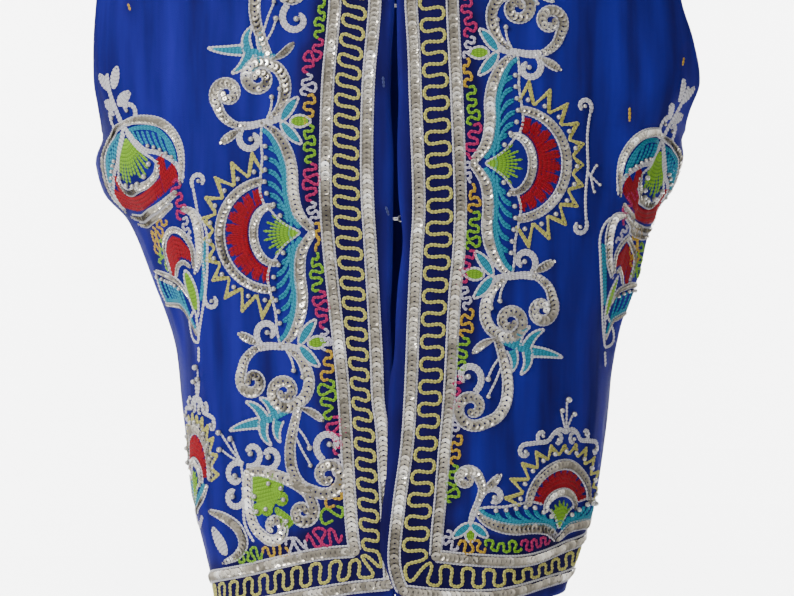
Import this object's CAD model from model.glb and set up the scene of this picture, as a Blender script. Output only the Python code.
import math
import bpy
import numpy as np
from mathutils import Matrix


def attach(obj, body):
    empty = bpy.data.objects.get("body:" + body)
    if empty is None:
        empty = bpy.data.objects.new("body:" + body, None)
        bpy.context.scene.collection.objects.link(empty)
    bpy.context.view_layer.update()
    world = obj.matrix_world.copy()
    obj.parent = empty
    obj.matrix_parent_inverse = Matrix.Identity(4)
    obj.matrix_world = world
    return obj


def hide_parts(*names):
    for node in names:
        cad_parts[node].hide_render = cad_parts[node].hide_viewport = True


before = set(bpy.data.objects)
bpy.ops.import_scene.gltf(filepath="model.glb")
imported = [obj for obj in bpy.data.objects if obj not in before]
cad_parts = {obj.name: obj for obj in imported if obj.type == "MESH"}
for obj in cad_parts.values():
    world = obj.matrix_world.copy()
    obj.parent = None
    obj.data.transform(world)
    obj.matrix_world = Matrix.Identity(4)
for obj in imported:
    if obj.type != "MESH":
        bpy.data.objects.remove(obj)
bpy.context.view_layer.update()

mm = 0.001
rng = np.random.default_rng(11)

# The view of the photograph, in millimetres. A place in the picture is (across, down) on 794 x 596.
view = {
    "distance": 2200.0,
    "middle": (397.0, 298.0),     # picture centre
    "centreLine": 392.0,          # the free edges meet here
    "underarmRow": 135.0,         # picture row of the underarm
    "underarm": -250.0,
    "scale": 0.72,                # mm to a picture place at the side seams
    "sensor": 36.0,
    "across": 794.0,
}


def makeCamera():
    x = (view["middle"][0] - view["centreLine"]) * view["scale"]
    z = view["underarm"] - (view["middle"][1] - view["underarmRow"]) * view["scale"]
    data = bpy.data.cameras.new("camera")
    data.sensor_width = view["sensor"]
    data.lens = view["sensor"] * view["distance"] / (view["across"] * view["scale"])
    data.clip_end = 30
    camera = bpy.data.objects.new("camera", data)
    camera.location = (x * mm, -view["distance"] * mm, z * mm)
    camera.rotation_euler = (math.radians(90), 0, 0)
    bpy.context.scene.collection.objects.link(camera)
    bpy.context.scene.camera = camera
    view["eye"] = (x, z)


makeCamera()
print("camera ready")

# The waistcoat's cut, the same sizes as the solids
cut = {
    "seamGap": 0.3,
    "neckHalf": 78.0, "shoulderHalf": 196.0, "shoulderDrop": 44.0,
    "chest": -160.0, "underarm": -250.0, "hem": -585.0,
    "hemRightDrop": 14.0, "hemLeftRise": 15.0,
    "frontNeck": -112.0, "backNeck": -20.0, "neckCurve": 2.4,
    "roundness": 0.05, "shoulderSpan": 170.0, "armholeAngle": 62.0,
    "foldEnds": 0.34, "seamCalm": 12.0,
    "overlapStart": -392.0, "overlapFull": -416.0, "overlapLift": 3.2,
    "overlapFlat": 12.0, "overlapReach": 44.0,
}
rings = {
    "z": [-40, -153, -185, -215, -235, -250, -264, -281, -297, -311, -325, -354, -383, -405, -443, -476,
          -509, -526, -550, -577, -600],
    "right": [221, 224, 224, 221, 214, 208, 207, 204, 198, 190, 183, 172, 161, 155, 151, 147, 143, 140, 134,
              128, 125],
    "left": [220, 219, 227, 230, 219, 209.5, 205.5, 199, 192, 188, 183, 175, 164, 159, 156, 152, 146, 141,
             133, 123, 120],
    "front": [98, 99, 102, 106, 109, 110, 111, 111, 110, 109, 108, 106, 105, 104, 103, 103, 103, 103, 102,
              101, 101],
    "back": [90, 93, 96, 97, 96, 95, 94, 92, 90, 89, 87, 85, 83, 82, 82, 83, 85, 86, 87, 88, 89],
}
armhole = {
    "z": [-44, -100, -153, -190, -215, -234, -245, -250],
    "angle": [60.5, 63, 64.5, 66, 68.5, 73, 79.5, 90],
}
frontEdges = {
    "z": [-112, -165, -200, -232, -266, -300, -328, -358, -378, -408, -424, -447, -487, -520, -541, -555,
          -577, -600],
    "right": [1.0, 2.0, 0.0, -0.8, 1.0, 1.0, 0.8, 0.2, -1.0, 0.5, 2.0, 3.0, 3.0, 3.0, 3.0, 3.0, 2.0, 2.0],
    "left": [3.0, 3.4, 3.8, 4.6, 3.8, 4.8, 7.5, 4.2, 2.8, 1.6, -1.4, -2.7, -3.6, -7.5, -7.8, -3.2, 4.0, 6.0],
}

# Folds: angle and its shift to the foot, width in degrees, height in mm, top and foot
frontFolds = [
    (-58, 4, 8, 3.4, -150, -330), (-44, -2, 8, -2.8, -140, -300), (-70, 6, 9, -4.2, -256, -430),
    (-56, 4, 8, 3.2, -300, -470), (-66, 0, 9, 3.0, -430, -640), (-44, 2, 9, -2.4, -440, -640),
    (38, 3, 8, -2.6, -130, -320), (52, 2, 8, 3.6, -150, -400), (66, 4, 9, -4.2, -180, -420),
    (78, 3, 8, 3.0, -300, -440), (56, 2, 9, -2.6, -430, -640), (72, -2, 9, 3.2, -450, -640),
]
backFolds = [
    (-64, 4, 8, -3.6, -240, -440), (-42, 3, 9, 3.0, -300, -640), (-22, 0, 9, -3.0, -260, -640),
    (2, -2, 10, 2.8, -180, -560), (24, 2, 9, -3.4, -280, -640), (44, -3, 9, 3.2, -220, -520),
    (66, 4, 8, -3.8, -250, -460),
]
sideFolds = [(-90, 0, 24, 7.0, -250, -312), (90, 0, 22, 5.4, -251, -306)]
# Finer creases that only the cloth shows
frontCreases = [
    (-64, 3, 2.2, 0.9, -158, -300), (-52, 2, 1.8, -0.8, -150, -262), (-49, -3, 2.0, 0.8, -190, -330),
    (-38, 2, 2.2, -0.7, -150, -250), (-75, 5, 2.4, 1.0, -300, -420), (-62, 5, 2.2, -0.9, -330, -470),
    (-55, -2, 2.2, 0.8, -470, -600), (-72, 1, 2.0, -0.8, -440, -590),
    (34, 2, 2.0, 0.8, -150, -290), (44, 4, 2.2, -1.0, -150, -330), (57, 3, 2.0, 1.1, -170, -380),
    (61, 4, 2.2, -1.2, -200, -420), (70, 2, 2.0, 1.0, -220, -400), (48, 2, 2.0, -0.8, -330, -470),
    (63, 1, 2.2, 0.9, -420, -560), (78, -2, 2.2, -0.9, -420, -560),
]
backCreases = [
    (-72, 4, 2.2, 1.0, -270, -420), (-55, 3, 2.0, -0.9, -200, -380), (-48, -2, 2.4, 0.8, -330, -560),
    (-32, 2, 2.2, -0.8, -150, -330), (-15, -2, 2.4, 0.9, -300, -560), (-6, 3, 2.0, -0.7, -200, -420),
    (10, 2, 2.2, 0.9, -260, -540), (30, -3, 2.2, -0.8, -180, -400), (38, 3, 2.0, 0.9, -330, -600),
    (52, 2, 2.2, -0.9, -240, -450), (74, -4, 2.2, 1.0, -280, -430),
]


def column(table, key, z):
    # value at a height, on a smooth curve through the rows
    rows = -np.array(table["z"], float)
    values = np.array(table[key], float)
    place = np.clip(-np.asarray(z, float), rows[0], rows[-1])
    i = np.clip(np.searchsorted(rows, place, side="right") - 1, 0, len(rows) - 2)
    order = np.arange(len(rows))
    before, after = np.maximum(order - 1, 0), np.minimum(order + 1, len(rows) - 1)
    slopes = (values[after] - values[before]) / (rows[after] - rows[before])
    span = rows[i + 1] - rows[i]
    t = (place - rows[i]) / span
    start = (1 + 2 * t) * (1 - t) ** 2 * values[i] + t * t * (3 - 2 * t) * values[i + 1]
    return start + t * (1 - t) ** 2 * span * slopes[i] + t * t * (t - 1) * span * slopes[i + 1]


def smooth(low, high, value):
    t = np.clip((value - low) / (high - low), 0, 1)
    return t * t * (3 - 2 * t)


def fullness(angle):
    return 1 + cut["roundness"] * np.sin(2 * angle) ** 2


def halfWidth(angle, z):
    return np.where(angle < 0, column(rings, "right", z), column(rings, "left", z))


def angleAt(x, z):
    # the angle at which a ring passes a distance from the centre line
    half = halfWidth(x, z)
    angle = np.arcsin(np.clip(x / half, -1, 1))
    for _ in range(6):
        angle = np.arcsin(np.clip(x / (half * fullness(angle)), -1, 1))
    return angle


def foldSum(folds, angle, z):
    height = np.zeros(np.shape(angle))
    for place, lean, width, depth, top, foot in folds:
        along = (top - z) / (top - foot)
        fade = smooth(0, cut["foldEnds"], along) * smooth(0, cut["foldEnds"], 1 - along)
        across = (np.degrees(angle) - place - lean * along) / width
        height = height + depth * np.exp(-across * across) * fade
    return height


def standOff(panel, angle, z, x):
    # height of the folds and creases, and of the left front where it lies over the right one
    back = panel == "back"
    calm = smooth(0, cut["seamCalm"], 90 - np.abs(np.degrees(angle)))
    height = foldSum(backFolds if back else frontFolds, angle, z) * calm
    height = height + foldSum(backCreases if back else frontCreases, angle, z) * calm
    height = height + foldSum(sideFolds, angle, z)
    if panel == "left":
        lapped = smooth(cut["overlapStart"], cut["overlapFull"], z)
        near = 1 - smooth(cut["overlapFlat"], cut["overlapReach"], x)
        height = height + cut["overlapLift"] * lapped * near
    return height


def turnAt(level):
    return np.maximum(0, level - cut["chest"]) * (math.pi / 2) / cut["shoulderSpan"]


def turnedHeight(angle, turn):
    x = halfWidth(angle, cut["chest"]) * np.sin(angle) * fullness(angle)
    slope = cut["shoulderDrop"] / (cut["shoulderHalf"] - cut["neckHalf"])
    shoulder = -slope * (np.abs(x) - cut["neckHalf"])
    return cut["chest"] + (shoulder - cut["chest"]) * np.sin(turn)


def heightAt(angle, level):
    return np.where(level > cut["chest"], turnedHeight(angle, turnAt(level)), level)


def clothPoint(panel, angle, level):
    # place on a panel's outer face, in millimetres
    angle, level = np.broadcast_arrays(np.asarray(angle, float), np.asarray(level, float))
    back = panel == "back"
    facing = 1.0 if back else -1.0
    z = heightAt(angle, level)
    depth = column(rings, "back" if back else "front", z)
    half = halfWidth(angle, z)
    flat = np.cos(turnAt(level))
    x = half * np.sin(angle) * fullness(angle)
    y = facing * depth * np.cos(angle) * fullness(angle) * flat
    outX, outY = np.sin(angle) / half, facing * np.cos(angle) / depth
    size = np.hypot(outX, outY)
    stand = standOff(panel, angle, z, x)
    x = x + outX / size * stand
    y = y + outY / size * stand * flat + facing * cut["seamGap"] / 2
    return np.stack([x, y, z], -1)


def clothNormal(panel, angle, level):
    stepAngle, stepLevel = 0.0004, 0.05
    across = clothPoint(panel, angle + stepAngle, level) - clothPoint(panel, angle - stepAngle, level)
    up = clothPoint(panel, angle, level + stepLevel) - clothPoint(panel, angle, level - stepLevel)
    normal = np.cross(across, up)
    normal /= np.linalg.norm(normal, axis=-1, keepdims=True)
    return -normal if panel == "back" else normal


def hemLevel(panel, angle):
    turned = np.degrees(angle) / 90
    if panel == "back":
        middle = cut["hem"] + (cut["hemLeftRise"] - cut["hemRightDrop"]) / 2
        return middle + np.sin(angle) * (cut["hemLeftRise"] + cut["hemRightDrop"]) / 2
    return cut["hem"] + np.where(turned < 0, -cut["hemRightDrop"], cut["hemLeftRise"]) * turned ** 2


def topLevel(panel, angle):
    # the shoulder seam, or the round neckline inside the neck points
    x = halfWidth(angle, cut["chest"]) * np.sin(angle) * fullness(angle)
    neck = cut["backNeck"] if panel == "back" else cut["frontNeck"]
    highest = float(turnedHeight(np.array(0.0), math.pi / 2))
    neckShare = math.asin((neck - cut["chest"]) / (highest - cut["chest"])) / (math.pi / 2)
    away = np.minimum(1, np.abs(x) / cut["neckHalf"]) ** cut["neckCurve"]
    return cut["chest"] + cut["shoulderSpan"] * (neckShare + (1 - neckShare) * away)


# The cloth laid flat: across in millimetres from the centre line round to the middle of the back
flat = {"levels": np.arange(-640.0, 12.0, 4.0), "thetas": np.radians(np.arange(0, 181, 1.0)), "reach": 420.0,
        "step": 2.0}


def measureFlat():
    # arc length round the body at each level, on each side, and the way back from it
    for side in (-1, 1):
        thetas, levels = flat["thetas"], flat["levels"]
        grid = np.meshgrid(thetas, levels)
        isFront = grid[0] <= math.pi / 2
        front = clothPoint("right", side * np.minimum(grid[0], math.pi / 2), grid[1])
        back = clothPoint("back", side * (math.pi - np.maximum(grid[0], math.pi / 2)), grid[1])
        points = np.where(isFront[..., None], front, back)
        steps = np.linalg.norm(np.diff(points, axis=1), axis=-1)
        lengths = np.concatenate([np.zeros((len(levels), 1)), np.cumsum(steps, axis=1)], axis=1)
        across = np.arange(0, flat["reach"], flat["step"])
        turns = np.stack([np.interp(across, row, thetas) for row in lengths])
        flat[side] = {"lengths": lengths, "turns": turns}


def sampleGrid(table, row, columnPlace):
    # value between the cells of a table
    row = np.clip(row, 0, table.shape[0] - 1.001)
    columnPlace = np.clip(columnPlace, 0, table.shape[1] - 1.001)
    r, c = row.astype(int), columnPlace.astype(int)
    fr, fc = row - r, columnPlace - c
    low = table[r, c] * (1 - fc) + table[r, c + 1] * fc
    high = table[r + 1, c] * (1 - fc) + table[r + 1, c + 1] * fc
    return low * (1 - fr) + high * fr


def levelRow(level):
    return (level - flat["levels"][0]) / (flat["levels"][1] - flat["levels"][0])


def turnOf(side, across, level):
    # how far round the body a place on the flat cloth lies, in radians from the centre front
    distance = np.asarray(across, float) * side
    turn = sampleGrid(flat[side]["turns"], levelRow(level), np.abs(distance) / flat["step"])
    return np.sign(distance) * turn


def acrossOf(side, turn, level):
    return side * np.sign(turn) * sampleGrid(flat[side]["lengths"], levelRow(level), np.degrees(np.abs(turn)))


def onCloth(points, side):
    # places and outward directions on the worn cloth for places on the flat cloth
    points = np.asarray(points, float)
    turn = turnOf(side, points[:, 0], points[:, 1])
    panel = "right" if side < 0 else "left"
    front = turn <= math.pi / 2
    place, outward = np.empty((len(points), 3)), np.empty((len(points), 3))
    for chosen, name, angle in ((front, panel, side * turn), (~front, "back", side * (math.pi - turn))):
        if chosen.any():
            place[chosen] = clothPoint(name, angle[chosen], points[chosen, 1])
            outward[chosen] = clothNormal(name, angle[chosen], points[chosen, 1])
    return place, outward


def seen(places, side):
    # flat places of what the photograph shows at picture places
    places = np.asarray(places, float).reshape(-1, 2)
    eyeX, eyeZ = view["eye"]
    right = (places[:, 0] - view["middle"][0]) * view["scale"]
    up = (view["middle"][1] - places[:, 1]) * view["scale"]
    panel = "right" if side < 0 else "left"
    y = np.full(len(places), -100.0)
    for _ in range(6):
        nearer = (view["distance"] + y) / view["distance"]
        x, z = eyeX + right * nearer, eyeZ + up * nearer
        angle = angleAt(x, z)
        y = clothPoint(panel, angle, z)[:, 1]
    return np.stack([acrossOf(side, angle * side, z), z], -1)


measureFlat()
print("cloth laid flat")


# Meshes from arrays
def makeMesh(name, points, faces, material, smoothFaces=True, values=None):
    mesh = bpy.data.meshes.new(name)
    points = np.asarray(points, np.float32) * mm
    faces = np.asarray(faces, np.int32)
    corners = faces.shape[1]
    mesh.vertices.add(len(points))
    mesh.vertices.foreach_set("co", points.ravel())
    mesh.loops.add(faces.size)
    mesh.loops.foreach_set("vertex_index", faces.ravel())
    mesh.polygons.add(len(faces))
    mesh.polygons.foreach_set("loop_start", np.arange(len(faces), dtype=np.int32) * corners)
    mesh.polygons.foreach_set("use_smooth", np.full(len(faces), smoothFaces))
    mesh.update(calc_edges=True)
    for key, numbers in (values or {}).items():
        layer = mesh.attributes.new(key, "FLOAT", "POINT")
        layer.data.foreach_set("value", np.asarray(numbers, np.float32))
    mesh.validate()
    mesh.materials.append(material)
    piece = bpy.data.objects.new(name, mesh)
    bpy.context.scene.collection.objects.link(piece)
    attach(piece, "root")
    return piece


# Shader node groups that more than one material uses
def newGroup(name, inputs, outputs):
    group = bpy.data.node_groups.new(name, "ShaderNodeTree")
    for label, kind, value in inputs:
        socket = group.interface.new_socket(label, in_out="INPUT", socket_type=kind)
        if value is not None:
            socket.default_value = value
    for label, kind in outputs:
        group.interface.new_socket(label, in_out="OUTPUT", socket_type=kind)
    start = group.nodes.new("NodeGroupInput")
    end = group.nodes.new("NodeGroupOutput")
    return group, start, end


def addNode(tree, kind, settings=None, **sockets):
    node = tree.nodes.new(kind)
    for key, value in (settings or {}).items():
        setattr(node, key, value)
    for key, value in sockets.items():
        node.inputs[key.replace("_", " ")].default_value = value
    return node


def joinNodes(tree, *pairs):
    for source, target in pairs:
        tree.links.new(source, target)


def setInputs(node, values):
    for label, value in values.items():
        node.inputs[label].default_value = value


def mathNode(tree, operation, value=None, clamp=False):
    node = addNode(tree, "ShaderNodeMath", {"operation": operation, "use_clamp": clamp})
    if value is not None:
        node.inputs[1].default_value = value
    return node


def attributeNode(tree, name):
    return addNode(tree, "ShaderNodeAttribute", {"attribute_name": name})


def mixNode(tree, **settings):
    return addNode(tree, "ShaderNodeMix", {"data_type": "RGBA", **settings})


# A mix node has several sockets of the same label, so its colours go by number
mixSocket = {"first": 6, "second": 7, "result": 2}
# Shares of slow and fine change in uneven colour, and how much finer the fine one is
unevenShares = {"slow": 0.45, "fine": 0.55, "finer": 9.0}


def unevenColour():
    # slow and fine colour changes, as in hand-dyed thread and cloth
    group, start, end = newGroup(
        "unevenColour",
        [("Colour", "NodeSocketColor", (0.5, 0.5, 0.5, 1)), ("Shade", "NodeSocketColor", (0.2, 0.2, 0.2, 1)),
         ("Scale", "NodeSocketFloat", 40.0), ("Strength", "NodeSocketFloat", 0.4)],
        [("Colour", "NodeSocketColor"), ("Height", "NodeSocketFloat")])
    place = addNode(group, "ShaderNodeTexCoord")
    broad = addNode(group, "ShaderNodeTexNoise", Detail=3.0, Roughness=0.6)
    fine = addNode(group, "ShaderNodeTexNoise", Detail=2.0, Roughness=0.5)
    finer = mathNode(group, "MULTIPLY", unevenShares["finer"])
    slow = mathNode(group, "MULTIPLY", unevenShares["slow"])
    both = mathNode(group, "MULTIPLY_ADD", unevenShares["fine"])
    share = mathNode(group, "MULTIPLY", clamp=True)
    mix = mixNode(group)
    joinNodes(group, (place.outputs["Object"], broad.inputs["Vector"]),
              (place.outputs["Object"], fine.inputs["Vector"]),
              (start.outputs["Scale"], broad.inputs["Scale"]),
              (start.outputs["Scale"], finer.inputs[0]), (finer.outputs[0], fine.inputs["Scale"]),
              (fine.outputs["Fac"], both.inputs[0]), (broad.outputs["Fac"], slow.inputs[0]),
              (slow.outputs[0], both.inputs[2]), (both.outputs[0], share.inputs[0]),
              (start.outputs["Strength"], share.inputs[1]), (share.outputs[0], mix.inputs["Factor"]),
              (start.outputs["Colour"], mix.inputs[mixSocket["first"]]),
              (start.outputs["Shade"], mix.inputs[mixSocket["second"]]),
              (mix.outputs[mixSocket["result"]], end.inputs["Colour"]),
              (both.outputs[0], end.inputs["Height"]))
    return group


groups = {"uneven": unevenColour()}


def newMaterial(name):
    material = bpy.data.materials.new(name)
    material.use_nodes = True
    tree = material.node_tree
    return material, tree, tree.nodes["Principled BSDF"]


def unevenNode(tree, colour, shade, scale, strength):
    node = addNode(tree, "ShaderNodeGroup", {"node_tree": groups["uneven"]})
    setInputs(node, {"Colour": (*colour, 1), "Shade": (*shade, 1), "Scale": scale, "Strength": strength})
    return node


threadLook = {
    "surface": {"Roughness": 0.55, "Sheen Weight": 0.04, "Sheen Roughness": 0.4, "Specular IOR Level": 0.14},
    "scale": 90.0, "strength": 0.5, "pits": 0.9, "pitShade": 0.22, "twist": 2.4, "strand": 9.0,
    "relief": 0.5, "depth": 0.0003,
}


def makeThread(name, colour, shade):
    # twisted thread: uneven dye, dark pits and fine strands across the stitch
    material, tree, surface = newMaterial(name)
    setInputs(surface, threadLook["surface"])
    uneven = unevenNode(tree, colour, shade, threadLook["scale"], threadLook["strength"])
    pit = attributeNode(tree, "stitchPit")
    sunk = mathNode(tree, "MULTIPLY", threadLook["pits"], True)
    deep = mixNode(tree)
    darkest = tuple(threadLook["pitShade"] * value for value in shade)
    deep.inputs[mixSocket["second"]].default_value = (*darkest, 1)
    run = attributeNode(tree, "stitchRun")
    across = attributeNode(tree, "stitchAcross")
    twist = mathNode(tree, "MULTIPLY_ADD", threadLook["twist"])
    wave = mathNode(tree, "MULTIPLY", threadLook["strand"])
    ridges = mathNode(tree, "SINE")
    bump = addNode(tree, "ShaderNodeBump", Strength=threadLook["relief"], Distance=threadLook["depth"])
    joinNodes(tree, (uneven.outputs["Colour"], deep.inputs[mixSocket["first"]]),
              (pit.outputs["Fac"], sunk.inputs[0]), (sunk.outputs[0], deep.inputs["Factor"]),
              (deep.outputs[mixSocket["result"]], surface.inputs["Base Color"]),
              (across.outputs["Fac"], twist.inputs[0]), (run.outputs["Fac"], wave.inputs[0]),
              (wave.outputs[0], twist.inputs[2]), (twist.outputs[0], ridges.inputs[0]),
              (ridges.outputs[0], bump.inputs["Height"]), (bump.outputs["Normal"], surface.inputs["Normal"]))
    return material


# Threads: their colour in the light and in the shade
threadColours = {
    "white": ((0.82, 0.80, 0.83), (0.46, 0.44, 0.48)),
    "cream": ((0.64, 0.60, 0.155), (0.37, 0.34, 0.07)),
    "turquoise": ((0.03, 0.34, 0.46), (0.012, 0.15, 0.26)),
    "lime": ((0.25, 0.52, 0.02), (0.10, 0.26, 0.012)),
    "magenta": ((0.56, 0.025, 0.15), (0.26, 0.010, 0.07)),
    "red": ((0.40, 0.0, 0.010), (0.17, 0.0, 0.006)),
    "golden": ((0.66, 0.42, 0.035), (0.34, 0.19, 0.015)),
    "lilac": ((0.66, 0.62, 0.72), (0.36, 0.33, 0.44)),
    "slate": ((0.06, 0.075, 0.22), (0.02, 0.025, 0.10)),
}


# Sequins: how rough the dullest and the brightest is, and the colour at each share of brightness
sequinLook = {"metal": 0.75, "rough": (0.42, 0.16), "dull": (0.10, 0.088, 0.070), "bright": (1.0, 0.99, 0.97),
              "between": ((0.5, (0.31, 0.28, 0.225)), (0.8, (0.60, 0.565, 0.49)))}


def makeSequinMaterial():
    material, tree, surface = newMaterial("silverSequin")
    setInputs(surface, {"Metallic": sequinLook["metal"]})
    glint = attributeNode(tree, "glint")
    ramp = addNode(tree, "ShaderNodeValToRGB")
    ramp.color_ramp.elements[0].color = (*sequinLook["dull"], 1)
    ramp.color_ramp.elements[1].color = (*sequinLook["bright"], 1)
    for share, colour in sequinLook["between"]:
        ramp.color_ramp.elements.new(share).color = (*colour, 1)
    rough = addNode(tree, "ShaderNodeMapRange", To_Min=sequinLook["rough"][0], To_Max=sequinLook["rough"][1])
    joinNodes(tree, (glint.outputs["Fac"], ramp.inputs["Fac"]),
              (ramp.outputs["Color"], surface.inputs["Base Color"]),
              (glint.outputs["Fac"], rough.inputs["Value"]),
              (rough.outputs["Result"], surface.inputs["Roughness"]))
    return material


pearlLook = {"surface": {"Roughness": 0.22, "Metallic": 0.45, "Coat Weight": 1.0, "Coat Roughness": 0.08},
             "colour": (0.40, 0.385, 0.36), "shade": (0.16, 0.15, 0.135), "scale": 60.0, "strength": 0.8}


def makePearlMaterial():
    material, tree, surface = newMaterial("pearlBead")
    setInputs(surface, pearlLook["surface"])
    uneven = unevenNode(tree, pearlLook["colour"], pearlLook["shade"], pearlLook["scale"],
                        pearlLook["strength"])
    joinNodes(tree, (uneven.outputs["Colour"], surface.inputs["Base Color"]))
    return material


wireLook = {"metal": 1.0, "colour": (0.66, 0.66, 0.67), "shade": (0.40, 0.39, 0.38), "scale": 220.0,
            "strength": 0.9, "rough": (0.18, 0.42)}


def makeWireMaterial():
    material, tree, surface = newMaterial("hookWire")
    setInputs(surface, {"Metallic": wireLook["metal"]})
    uneven = unevenNode(tree, wireLook["colour"], wireLook["shade"], wireLook["scale"], wireLook["strength"])
    rough = addNode(tree, "ShaderNodeMapRange", To_Min=wireLook["rough"][0], To_Max=wireLook["rough"][1])
    joinNodes(tree, (uneven.outputs["Colour"], surface.inputs["Base Color"]),
              (uneven.outputs["Height"], rough.inputs["Value"]),
              (rough.outputs["Result"], surface.inputs["Roughness"]))
    return material


clothLook = {
    "surface": {"Roughness": 0.75, "Sheen Weight": 0.02, "Sheen Roughness": 0.35,
                "Sheen Tint": (0.2, 0.3, 1.0, 1), "Specular IOR Level": 0.04},
    "stretch": (0.055, 0.006, 1.0), "streaks": (0.28, 0.72),
    "dark": (0.0052, 0.0044, 0.062, 1), "light": (0.0125, 0.0112, 0.180, 1), "shadow": (0.62, 0.42, 0.32, 1),
    "relief": 0.35, "depth": 0.0004,
}


def makeClothMaterial():
    # thin georgette: crinkled weave, and streaks of light and dark where the cloth hangs
    material, tree, surface = newMaterial("blueGeorgette")
    setInputs(surface, clothLook["surface"])
    across = attributeNode(tree, "clothAcross")
    along = attributeNode(tree, "clothAlong")
    place = addNode(tree, "ShaderNodeCombineXYZ")
    stretched = addNode(tree, "ShaderNodeVectorMath", {"operation": "MULTIPLY"})
    stretched.inputs[1].default_value = clothLook["stretch"]
    streaks = addNode(tree, "ShaderNodeTexNoise", Scale=1.0, Detail=3.0, Roughness=0.52)
    low, high = clothLook["streaks"]
    shades = addNode(tree, "ShaderNodeMapRange", From_Min=low, From_Max=high)
    mix = mixNode(tree)
    mix.inputs[mixSocket["first"]].default_value = clothLook["dark"]
    mix.inputs[mixSocket["second"]].default_value = clothLook["light"]
    worked = attributeNode(tree, "worked")
    shadow = mixNode(tree, blend_type="MULTIPLY")
    shadow.inputs[mixSocket["second"]].default_value = clothLook["shadow"]
    crinkle = addNode(tree, "ShaderNodeTexNoise", Scale=0.9, Detail=3.0, Roughness=0.7)
    weave = addNode(tree, "ShaderNodeTexNoise", Scale=2.6, Detail=1.0)
    both = mathNode(tree, "ADD")
    bump = addNode(tree, "ShaderNodeBump", Strength=clothLook["relief"], Distance=clothLook["depth"])
    joinNodes(tree, (across.outputs["Fac"], place.inputs["X"]), (along.outputs["Fac"], place.inputs["Y"]),
              (place.outputs[0], stretched.inputs[0]), (stretched.outputs[0], streaks.inputs["Vector"]),
              (streaks.outputs["Fac"], shades.inputs["Value"]),
              (shades.outputs["Result"], mix.inputs["Factor"]),
              (mix.outputs[mixSocket["result"]], shadow.inputs[mixSocket["first"]]),
              (worked.outputs["Fac"], shadow.inputs["Factor"]),
              (shadow.outputs[mixSocket["result"]], surface.inputs["Base Color"]),
              (place.outputs[0], crinkle.inputs["Vector"]), (place.outputs[0], weave.inputs["Vector"]),
              (crinkle.outputs["Fac"], both.inputs[0]), (weave.outputs["Fac"], both.inputs[1]),
              (both.outputs[0], bump.inputs["Height"]), (bump.outputs["Normal"], surface.inputs["Normal"]))
    return material


materials = {name: makeThread(name + "Thread", *pair) for name, pair in threadColours.items()}
materials["sequin"] = makeSequinMaterial()
materials["pearl"] = makePearlMaterial()
materials["wire"] = makeWireMaterial()
materials["cloth"] = makeClothMaterial()
print("materials ready")

# The three panels of cloth
panelGrid = {"skirtRows": 84, "armholeRows": 24, "collarRows": 34, "frontColumns": 66, "backColumns": 108,
             "rowEase": 1.4, "cloth": 0.7, "hemRoll": 0.45, "hemWidth": 4.0, "hemEase": (0.7, 1.3),
             "hemOut": 0.4, "backShift": 900.0}


def panelPlaces(panel, columns):
    # angles and levels of a panel's grid, row by row from the hem to the shoulder
    skirt, arms, collar = panelGrid["skirtRows"], panelGrid["armholeRows"], panelGrid["collarRows"]
    share = np.linspace(0, 1, columns + 1)
    side = -1 if panel == "right" else 1
    angles, levels = [], []
    for row in range(skirt + arms + collar + 1):
        above = row - skirt
        low = min(1, max(0, above) / arms) ** panelGrid["rowEase"]
        high = max(0, above - arms) / collar
        level = cut["underarm"] + (cut["chest"] - cut["underarm"]) * low + cut["shoulderSpan"] * high
        z = min(level, cut["frontNeck"])
        if above <= 0:
            z = cut["hem"] + (cut["underarm"] - cut["hem"]) * row / skirt
        reach = math.pi / 2
        if above > 0:
            edge = heightAt(np.radians(cut["armholeAngle"]), np.array(level))
            reach = math.radians(float(column(armhole, "angle", edge)))
        if panel == "back":
            low, high = -reach, reach
        else:
            opening = float(angleAt(column(frontEdges, panel, z), z))
            low, high = (-reach, opening) if side < 0 else (opening, reach)
        angle = low + (high - low) * share
        if above <= 0:
            hem = hemLevel(panel, angle)
            level = hem + (cut["underarm"] - hem) * row / skirt
        elif above > arms:
            level = cut["chest"] + (topLevel(panel, angle) - cut["chest"]) * (above - arms) / collar
        angles.append(angle)
        levels.append(np.broadcast_to(level, angle.shape))
    return np.array(angles), np.array(levels)


def gridFaces(rows, columns, offset=0, flip=False):
    r, c = np.meshgrid(np.arange(rows - 1), np.arange(columns - 1), indexing="ij")
    first = (r * columns + c).ravel() + offset
    quads = np.stack([first, first + 1, first + columns + 1, first + columns], -1)
    return quads[:, ::-1] if flip else quads


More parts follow.
